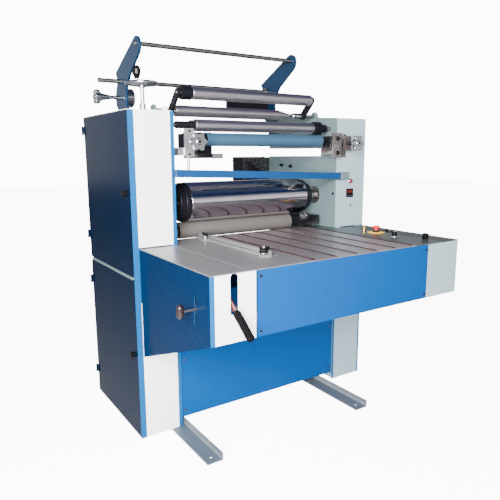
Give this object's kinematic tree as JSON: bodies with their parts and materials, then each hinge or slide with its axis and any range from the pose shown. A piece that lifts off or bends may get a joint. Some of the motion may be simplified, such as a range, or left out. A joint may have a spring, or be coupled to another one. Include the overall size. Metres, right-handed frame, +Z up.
{
  "type": "roll laminator",
  "caption": "Floor-standing wide-format roll laminator with a heated chrome drum, a pressure roller on a lever, film rollers, rear supply arms and a feed table",
  "frame": {"origin": "on the floor, at the centre of the base tie between the two feet", "axes": "+X to the operator's right, +Y to the rear, +Z up"},
  "size_m": [1.397, 1.4669, 1.8319],
  "materials": {
    "foot_grey": "satin grey paint on angle iron",
    "frame_blue": "pale blue enamel",
    "panel_white": "gloss white enamel",
    "panel_blue": "gloss blue enamel",
    "door_blue": "gloss dark blue enamel",
    "cover_grey": "pale grey-green enamel",
    "plate_grey": "pale grey-green enamel",
    "table_plate": "brushed steel",
    "machined": "machined steel",
    "chrome": "polished chrome",
    "shaft_steel": "turned steel",
    "cream_rubber": "cream silicone rubber",
    "blue_rubber": "pale blue rubber",
    "black_metal": "satin black paint",
    "black_plastic": "moulded black plastic",
    "black_rubber": "black rubber grip",
    "belt_brown": "brown woven belt",
    "grip_brown": "dark brown moulded knob",
    "red_plastic": "gloss red plastic",
    "yellow_plastic": "yellow plastic",
    "motor_grey": "grey motor paint"
  },
  "bodies": {
    "machine": {"base_feet": "foot_grey", "left_frame": "frame_blue", "right_frame": "frame_blue", "side_plates": "plate_grey", "drum_bearings": "machined", "white_panels": "panel_white", "blue_panels": "panel_blue", "cabinet_covers": "cover_grey", "crossbar": "panel_blue", "drive_motor": "motor_grey", "table_frame": "foot_grey", "table_left_plates": "plate_grey", "table_centre_plate": "table_plate", "control_plate": "table_plate", "table_side_panels": "frame_blue", "feed_belts": "belt_brown", "control_fittings": "yellow_plastic", "front_indicators": "black_plastic", "unwind_arms": "frame_blue", "arm_tie_rod": "shaft_steel", "rear_guide_plate": "black_metal", "rear_control_box": "black_metal", "adjust_brackets": "machined", "panel_fittings": "black_plastic"},
    "upper_door": {"left_upper_door": "door_blue"},
    "lower_door": {"left_lower_door": "door_blue"},
    "upper_latch": {"upper_door_latch": "black_plastic"},
    "lower_latch": {"lower_door_latch": "black_plastic"},
    "drum": {"heated_drum": "chrome", "drum_shaft": "shaft_steel"},
    "pressure_roller": {"pressure_roller": "cream_rubber"},
    "yoke": {"pressure_yoke": "black_metal"},
    "cams": {"cam_shaft": "shaft_steel"},
    "link": {"pressure_link": "shaft_steel"},
    "lever": {"pressure_lever": "shaft_steel", "lever_grip": "black_rubber"},
    "belt_front": {"belt_front_roller": "shaft_steel"},
    "belt_rear": {"belt_rear_roller": "shaft_steel"},
    "side_guide": {"side_guide": "machined"},
    "guide_screw_front": {"guide_screw_front": "black_plastic"},
    "guide_screw_rear": {"guide_screw_rear": "black_plastic"},
    "side_lever": {"side_lever": "grip_brown"},
    "stop_button": {"emergency_stop": "red_plastic"},
    "speed_knob": {"speed_knob": "black_plastic"},
    "selector": {"selector_switch": "black_plastic"},
    "rocker": {"rocker_switch": "black_plastic"},
    "toggle": {"toggle_switch": "chrome"},
    "unwind": {"unwind_shaft": "shaft_steel"},
    "tension": {"tension_knob": "black_plastic"},
    "dancer": {"dancer_arms": "black_metal"},
    "upper_roller": {"upper_guide_roller": "chrome"},
    "film_roller": {"film_roller": "chrome"},
    "chrome_roller": {"chrome_guide_roller": "chrome"},
    "blue_roller": {"blue_nip_roller": "blue_rubber"},
    "nip_blocks": {"nip_roller_blocks": "machined"},
    "left_star": {"left_star_wheel": "chrome"},
    "right_star": {"right_star_wheel": "chrome"},
    "handwheel": {"top_handwheel": "chrome"},
    "handle": {"handwheel_handle": "black_plastic"}
  },
  "joints": [
    {"name": "upper_door_hinge", "type": "hinge", "parent": "machine", "child": "upper_door", "pos_m": [-0.681, 0.306, 1.1], "axis": [0, 0, -1], "range_deg": [0, 110]},
    {"name": "lower_door_hinge", "type": "hinge", "parent": "machine", "child": "lower_door", "pos_m": [-0.681, 0.306, 0.37], "axis": [0, 0, -1], "range_deg": [0, 110]},
    {"name": "upper_latch_turn", "type": "hinge", "parent": "upper_door", "child": "upper_latch", "pos_m": [-0.676, -0.263, 1.115], "axis": [1, 0, 0], "range_deg": [0, 90]},
    {"name": "lower_latch_turn", "type": "hinge", "parent": "lower_door", "child": "lower_latch", "pos_m": [-0.676, -0.27, 0.399], "axis": [1, 0, 0], "range_deg": [0, 90]},
    {"name": "drum_spin", "type": "hinge", "parent": "machine", "child": "drum", "pos_m": [0, -0.13, 1.05], "axis": [1, 0, 0], "continuous": true},
    {"name": "nip_open", "type": "slide", "parent": "machine", "child": "yoke", "axis": [0, 0, -1], "range_m": [0, 0.012]},
    {"name": "pressure_spin", "type": "hinge", "parent": "yoke", "child": "pressure_roller", "pos_m": [0, -0.13, 0.9147], "axis": [1, 0, 0], "continuous": true},
    {"name": "lever_swing", "type": "hinge", "parent": "machine", "child": "lever", "pos_m": [-0.552, -0.8, 0.846], "axis": [-1, 0, 0], "range_deg": [0, 44]},
    {"name": "cam_turn", "type": "hinge", "parent": "machine", "child": "cams", "pos_m": [0, -0.13, 0.7208], "axis": [-1, 0, 0], "range_deg": [0, 44]},
    {"name": "link_swing", "type": "hinge", "parent": "lever", "child": "link", "pos_m": [-0.592, -0.8, 0.776], "axis": [-1, 0, 0], "range_deg": [-44, 0]},
    {"name": "belt_front_spin", "type": "hinge", "parent": "machine", "child": "belt_front", "pos_m": [0, -0.9, 0.864], "axis": [1, 0, 0], "continuous": true},
    {"name": "belt_rear_spin", "type": "hinge", "parent": "machine", "child": "belt_rear", "pos_m": [0, -0.186, 0.864], "axis": [1, 0, 0], "continuous": true},
    {"name": "guide_slide", "type": "slide", "parent": "machine", "child": "side_guide", "axis": [1, 0, 0], "range_m": [-0.024, 0.055]},
    {"name": "guide_front_clamp", "type": "hinge", "parent": "side_guide", "child": "guide_screw_front", "pos_m": [-0.316, -0.76, 0.89], "axis": [0, 0, -1], "range_deg": [0, 720]},
    {"name": "guide_rear_clamp", "type": "hinge", "parent": "side_guide", "child": "guide_screw_rear", "pos_m": [-0.316, -0.285, 0.89], "axis": [0, 0, -1], "range_deg": [0, 720]},
    {"name": "side_lever_slide", "type": "slide", "parent": "machine", "child": "side_lever", "axis": [0, 0, 1], "range_m": [-0.05, 0.032]},
    {"name": "stop_press", "type": "slide", "parent": "machine", "child": "stop_button", "axis": [0, 0, -1], "range_m": [0, 0.0028], "stiffness_N_per_m": 900},
    {"name": "speed_turn", "type": "hinge", "parent": "machine", "child": "speed_knob", "pos_m": [0.495, -0.7, 0.88], "axis": [0, 0, 1], "range_deg": [-270, 0]},
    {"name": "selector_turn", "type": "hinge", "parent": "machine", "child": "selector", "pos_m": [0.56, -0.83, 0.88], "axis": [0, 0, -1], "range_deg": [0, 90]},
    {"name": "rocker_tilt", "type": "hinge", "parent": "machine", "child": "rocker", "pos_m": [0.61, -0.561, 0.866], "axis": [1, 0, 0], "range_deg": [-7, 7]},
    {"name": "toggle_tilt", "type": "hinge", "parent": "machine", "child": "toggle", "pos_m": [0.575, -0.311, 1.001], "axis": [1, 0, 0], "range_deg": [-12, 12]},
    {"name": "unwind_spin", "type": "hinge", "parent": "machine", "child": "unwind", "pos_m": [0, 0.315, 1.648], "axis": [1, 0, 0], "continuous": true},
    {"name": "tension_turn", "type": "hinge", "parent": "machine", "child": "tension", "pos_m": [0, 0.33, 1.568], "axis": [-1, 0, 0], "range_deg": [0, 1080]},
    {"name": "dancer_swing", "type": "hinge", "parent": "machine", "child": "dancer", "pos_m": [0, -0.115, 1.476], "axis": [-1, 0, 0], "range_deg": [-35, 60]},
    {"name": "upper_roller_spin", "type": "hinge", "parent": "dancer", "child": "upper_roller", "pos_m": [0, -0.19, 1.551], "axis": [1, 0, 0], "continuous": true},
    {"name": "film_roller_spin", "type": "hinge", "parent": "machine", "child": "film_roller", "pos_m": [0, -0.115, 1.476], "axis": [1, 0, 0], "continuous": true},
    {"name": "chrome_roller_spin", "type": "hinge", "parent": "machine", "child": "chrome_roller", "pos_m": [0, -0.25, 1.405], "axis": [1, 0, 0], "continuous": true},
    {"name": "nip_adjust", "type": "slide", "parent": "machine", "child": "nip_blocks", "axis": [0, 1, 0], "range_m": [0, 0.008]},
    {"name": "blue_roller_spin", "type": "hinge", "parent": "nip_blocks", "child": "blue_roller", "pos_m": [0, -0.3, 1.341], "axis": [1, 0, 0], "continuous": true},
    {"name": "left_star_turn", "type": "hinge", "parent": "machine", "child": "left_star", "pos_m": [-0.414, -0.425, 1.328], "axis": [0, 1, 0], "range_deg": [0, 1440]},
    {"name": "right_star_turn", "type": "hinge", "parent": "machine", "child": "right_star", "pos_m": [0.505, -0.425, 1.328], "axis": [0, 1, 0], "range_deg": [0, 1440]},
    {"name": "handwheel_turn", "type": "hinge", "parent": "machine", "child": "handwheel", "pos_m": [-0.525, -0.11, 1.585], "axis": [0, 0, 1], "continuous": true},
    {"name": "handle_spin", "type": "hinge", "parent": "handwheel", "child": "handle", "pos_m": [-0.525, -0.052, 1.64], "axis": [0, 0, 1], "continuous": true}
  ],
  "couplings": [
    {"joint": "nip_open", "follows": "lever_swing", "m_per_rad": 0.015626},
    {"joint": "cam_turn", "follows": "lever_swing", "ratio": 1},
    {"joint": "link_swing", "follows": "lever_swing", "ratio": -1},
    {"joint": "pressure_spin", "follows": "drum_spin", "ratio": -2.375},
    {"joint": "belt_front_spin", "follows": "drum_spin", "ratio": -5.9375},
    {"joint": "belt_rear_spin", "follows": "drum_spin", "ratio": -5.9375},
    {"joint": "nip_adjust", "follows": "left_star_turn", "m_per_rad": 0.00031831},
    {"joint": "right_star_turn", "follows": "left_star_turn", "ratio": 1}
  ]
}
